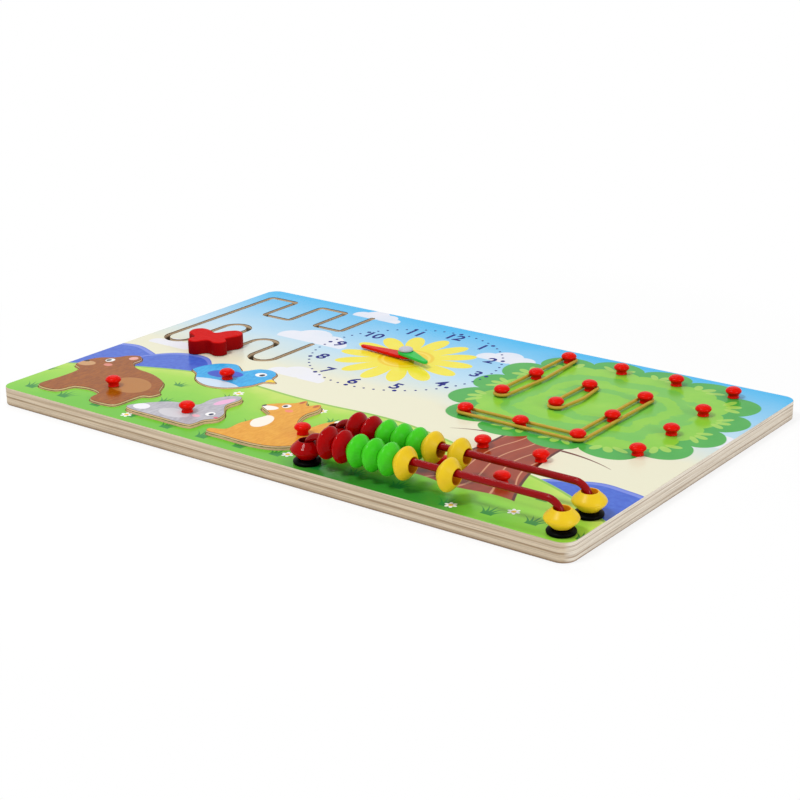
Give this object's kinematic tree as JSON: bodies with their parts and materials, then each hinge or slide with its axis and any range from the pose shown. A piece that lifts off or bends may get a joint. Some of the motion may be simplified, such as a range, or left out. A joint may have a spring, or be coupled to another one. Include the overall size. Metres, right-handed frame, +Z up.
{
  "type": "wooden activity board",
  "caption": "Flat wooden toy board with a slot maze and slider, a toy clock, lift-out animal pieces, a peg grid with rubber bands and wires of sliding beads.",
  "frame": {"origin": "under the middle of the board, on the surface that it lies on", "axes": "+X along the board's long side towards the peg grid, +Y towards its far edge, +Z up"},
  "size_m": [0.45, 0.285, 0.0391],
  "materials": {
    "plywood": "plain birch plywood, sealed",
    "printed_face": "plywood with a glossy printed face",
    "red_painted_wood": "matte red paint",
    "bear_paint": "glossy brown print on plywood",
    "bird_paint": "glossy blue print on plywood",
    "rabbit_paint": "glossy grey print on plywood",
    "fox_paint": "glossy orange print on plywood",
    "steel_pin": "plain turned steel",
    "red_plastic": "glossy red",
    "green_plastic": "glossy green",
    "grey_plastic": "satin pale grey",
    "band_rubber": "matte tan rubber",
    "coated_wire": "glossy dark red coating, black moulded feet",
    "red_bead": "glossy red",
    "green_bead": "glossy green",
    "yellow_bead": "glossy yellow"
  },
  "bodies": {
    "board": {"front_panel": "printed_face", "back_panel": "plywood", "clock_pin": "grey_plastic", "front_wire": "coated_wire", "rear_wire": "coated_wire", "peg_1_1": "red_plastic", "peg_1_2": "red_plastic", "peg_1_3": "red_plastic", "peg_1_4": "red_plastic", "peg_2_1": "red_plastic", "peg_2_2": "red_plastic", "peg_2_3": "red_plastic", "peg_2_4": "red_plastic", "peg_3_1": "red_plastic", "peg_3_2": "red_plastic", "peg_3_3": "red_plastic", "peg_3_4": "red_plastic", "peg_4_1": "red_plastic", "peg_4_2": "red_plastic", "peg_4_3": "red_plastic", "peg_4_4": "red_plastic", "peg_5_2": "red_plastic", "peg_5_3": "red_plastic", "peg_6_2": "red_plastic", "peg_6_3": "red_plastic", "band_long": "band_rubber", "band_short": "band_rubber", "band_corner": "band_rubber"},
    "minute_hand": {"minute_hand": "red_plastic"},
    "hour_hand": {"hour_hand": "green_plastic"},
    "maze_pin": {"maze_pin": "steel_pin"},
    "maze_butterfly": {"maze_butterfly": "red_painted_wood"},
    "bear": {"bear_piece": "bear_paint", "bear_knob": "red_plastic"},
    "bird": {"bird_piece": "bird_paint", "bird_knob": "red_plastic"},
    "rabbit": {"rabbit_piece": "rabbit_paint", "rabbit_knob": "red_plastic"},
    "fox": {"fox_piece": "fox_paint", "fox_knob": "red_plastic"},
    "front_red_1": {"front_red_1": "red_bead"},
    "front_red_2": {"front_red_2": "red_bead"},
    "front_red_3": {"front_red_3": "red_bead"},
    "front_green_1": {"front_green_1": "green_bead"},
    "front_green_2": {"front_green_2": "green_bead"},
    "front_green_3": {"front_green_3": "green_bead"},
    "front_yellow_1": {"front_yellow_1": "yellow_bead"},
    "front_yellow_2": {"front_yellow_2": "yellow_bead"},
    "front_yellow_3": {"front_yellow_3": "yellow_bead"},
    "rear_red_1": {"rear_red_1": "red_bead"},
    "rear_red_2": {"rear_red_2": "red_bead"},
    "rear_red_3": {"rear_red_3": "red_bead"},
    "rear_green_1": {"rear_green_1": "green_bead"},
    "rear_green_2": {"rear_green_2": "green_bead"},
    "rear_green_3": {"rear_green_3": "green_bead"},
    "rear_yellow_1": {"rear_yellow_1": "yellow_bead"},
    "rear_yellow_2": {"rear_yellow_2": "yellow_bead"},
    "rear_yellow_3": {"rear_yellow_3": "yellow_bead"}
  },
  "joints": [
    {"name": "minute_hand_turn", "type": "hinge", "parent": "board", "child": "minute_hand", "pos_m": [-0.0348, 0.0622, 0.0134], "axis": [0, 0, 1], "continuous": true},
    {"name": "hour_hand_turn", "type": "hinge", "parent": "board", "child": "hour_hand", "pos_m": [-0.0348, 0.0622, 0.0134], "axis": [0, 0, 1], "continuous": true},
    {"name": "slider_swing", "type": "hinge", "parent": "board", "child": "maze_pin", "pos_m": [-0.16125, 0.01015, 0.0125], "axis": [0, 0, 1], "range_deg": [-90, 90]},
    {"name": "butterfly_spin", "type": "hinge", "parent": "maze_pin", "child": "maze_butterfly", "pos_m": [-0.16125, 0, 0.0128], "axis": [0, 0, 1], "continuous": true},
    {"name": "bear_lift", "type": "slide", "parent": "board", "child": "bear", "axis": [0, 0, 1], "range_m": [0, 0.015]},
    {"name": "bird_lift", "type": "slide", "parent": "board", "child": "bird", "axis": [0, 0, 1], "range_m": [0, 0.015]},
    {"name": "rabbit_lift", "type": "slide", "parent": "board", "child": "rabbit", "axis": [0, 0, 1], "range_m": [0, 0.015]},
    {"name": "fox_lift", "type": "slide", "parent": "board", "child": "fox", "axis": [0, 0, 1], "range_m": [0, 0.015]},
    {"name": "front_red_1_climb", "type": "hinge", "parent": "board", "child": "front_red_1", "pos_m": [0.04445, -0.1308, 0.0216], "axis": [0, 1, 0], "range_deg": [0, 20]},
    {"name": "front_red_2_slide", "type": "slide", "parent": "board", "child": "front_red_2", "axis": [1, 0, 0], "range_m": [0, 0.004]},
    {"name": "front_red_3_slide", "type": "slide", "parent": "front_red_2", "child": "front_red_3", "axis": [1, 0, 0], "range_m": [0, 0.004]},
    {"name": "front_green_1_slide", "type": "slide", "parent": "front_red_3", "child": "front_green_1", "axis": [1, 0, 0], "range_m": [0, 0.004]},
    {"name": "front_green_2_slide", "type": "slide", "parent": "front_green_1", "child": "front_green_2", "axis": [1, 0, 0], "range_m": [0, 0.004]},
    {"name": "front_green_3_slide", "type": "slide", "parent": "front_green_2", "child": "front_green_3", "axis": [1, 0, 0], "range_m": [0, 0.004]},
    {"name": "front_yellow_1_slide", "type": "slide", "parent": "front_green_3", "child": "front_yellow_1", "axis": [1, 0, 0], "range_m": [0, 0.008]},
    {"name": "front_yellow_2_slide", "type": "slide", "parent": "front_yellow_1", "child": "front_yellow_2", "axis": [1, 0, 0], "range_m": [-0.0187, 0.024]},
    {"name": "front_yellow_3_climb", "type": "hinge", "parent": "board", "child": "front_yellow_3", "pos_m": [0.20375, -0.1308, 0.0216], "axis": [0, -1, 0], "range_deg": [0, 90]},
    {"name": "rear_red_1_climb", "type": "hinge", "parent": "board", "child": "rear_red_1", "pos_m": [0.04445, -0.1018, 0.0216], "axis": [0, 1, 0], "range_deg": [0, 20]},
    {"name": "rear_red_2_slide", "type": "slide", "parent": "board", "child": "rear_red_2", "axis": [1, 0, 0], "range_m": [0, 0.004]},
    {"name": "rear_red_3_slide", "type": "slide", "parent": "rear_red_2", "child": "rear_red_3", "axis": [1, 0, 0], "range_m": [0, 0.004]},
    {"name": "rear_green_1_slide", "type": "slide", "parent": "rear_red_3", "child": "rear_green_1", "axis": [1, 0, 0], "range_m": [0, 0.004]},
    {"name": "rear_green_2_slide", "type": "slide", "parent": "rear_green_1", "child": "rear_green_2", "axis": [1, 0, 0], "range_m": [0, 0.004]},
    {"name": "rear_green_3_slide", "type": "slide", "parent": "rear_green_2", "child": "rear_green_3", "axis": [1, 0, 0], "range_m": [0, 0.004]},
    {"name": "rear_yellow_1_slide", "type": "slide", "parent": "rear_green_3", "child": "rear_yellow_1", "axis": [1, 0, 0], "range_m": [0, 0.008]},
    {"name": "rear_yellow_2_slide", "type": "slide", "parent": "rear_yellow_1", "child": "rear_yellow_2", "axis": [1, 0, 0], "range_m": [-0.007, 0.036]},
    {"name": "rear_yellow_3_climb", "type": "hinge", "parent": "board", "child": "rear_yellow_3", "pos_m": [0.20375, -0.1018, 0.0216], "axis": [0, -1, 0], "range_deg": [0, 90]}
  ]
}
